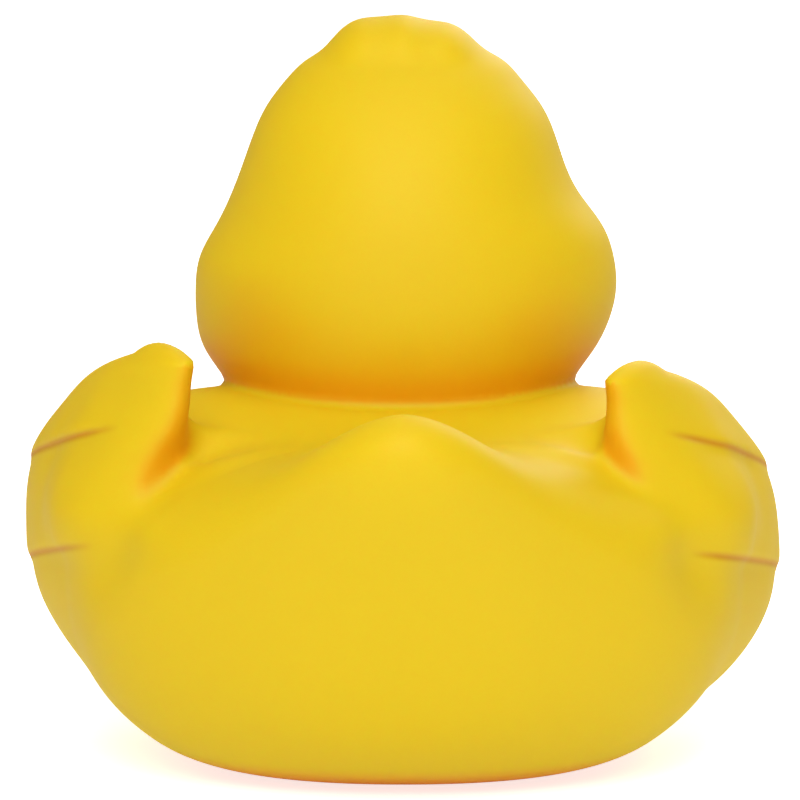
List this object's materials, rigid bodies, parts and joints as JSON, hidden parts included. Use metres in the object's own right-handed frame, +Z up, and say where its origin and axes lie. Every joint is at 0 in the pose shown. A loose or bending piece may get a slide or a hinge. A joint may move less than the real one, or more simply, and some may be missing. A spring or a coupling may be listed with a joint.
{
  "type": "rubber duck",
  "caption": "hollow soft vinyl bath duck with raised feathered wings, an upturned tail, a small bill and a squeaker in its flat base",
  "frame": {"origin": "centre of the bounding box, on the flat base", "axes": "+Z up, the bill points along -Y and the tail along +Y, the duck's left wing is on +X"},
  "size_m": [0.082, 0.0938, 0.0782],
  "materials": {
    "duck_body": "soft matt yellow vinyl",
    "squeaker": "moulded white polythene"
  },
  "bodies": {
    "root": {"duck_body": "duck_body", "squeaker": "squeaker"}
  },
  "joints": []
}
